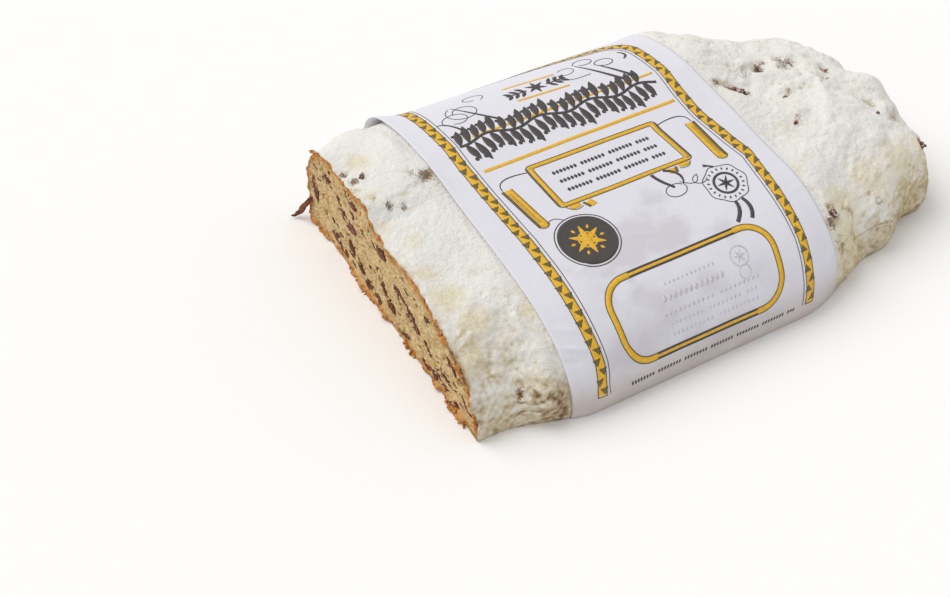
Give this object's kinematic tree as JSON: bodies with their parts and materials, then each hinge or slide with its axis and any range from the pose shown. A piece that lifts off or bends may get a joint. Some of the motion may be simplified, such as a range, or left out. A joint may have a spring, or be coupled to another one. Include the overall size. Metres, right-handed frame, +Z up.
{
  "type": "stollen",
  "caption": "Festive fruit loaf with a folded, sugared crust, sliced open at one end to show raisins in its crumb, lying flat in a wide paper band.",
  "frame": {"origin": "on the table, under the middle of the whole", "axes": "+X from the cut end to the uncut end, +Y towards the folded ridge at the back, +Z up"},
  "size_m": [0.283, 0.1904, 0.0557],
  "materials": {
    "sugared_crust": "powdery sugar over a baked crust",
    "crumb": "matt baked crumb",
    "paper": "smooth printed paper",
    "print": "printed ink",
    "raisin": "wrinkled, a little glossy",
    "peel": "candied, a little glossy"
  },
  "bodies": {
    "root": {"loaf": "sugared_crust", "paper_band": "paper", "raisin_01": "raisin", "raisin_02": "raisin", "raisin_03": "raisin", "raisin_04": "raisin", "raisin_05": "raisin", "raisin_06": "raisin", "raisin_07": "raisin", "raisin_08": "raisin", "raisin_09": "raisin", "raisin_10": "raisin", "raisin_11": "raisin", "raisin_12": "raisin", "raisin_13": "raisin", "raisin_14": "raisin", "raisin_15": "raisin", "raisin_16": "raisin", "raisin_17": "raisin", "raisin_18": "raisin", "raisin_19": "raisin", "raisin_20": "raisin", "raisin_21": "raisin", "raisin_22": "raisin", "raisin_23": "raisin", "raisin_24": "raisin", "raisin_25": "raisin", "raisin_26": "raisin", "raisin_27": "raisin", "raisin_28": "raisin", "raisin_29": "raisin", "raisin_30": "raisin", "raisin_curl": "raisin"}
  },
  "joints": []
}
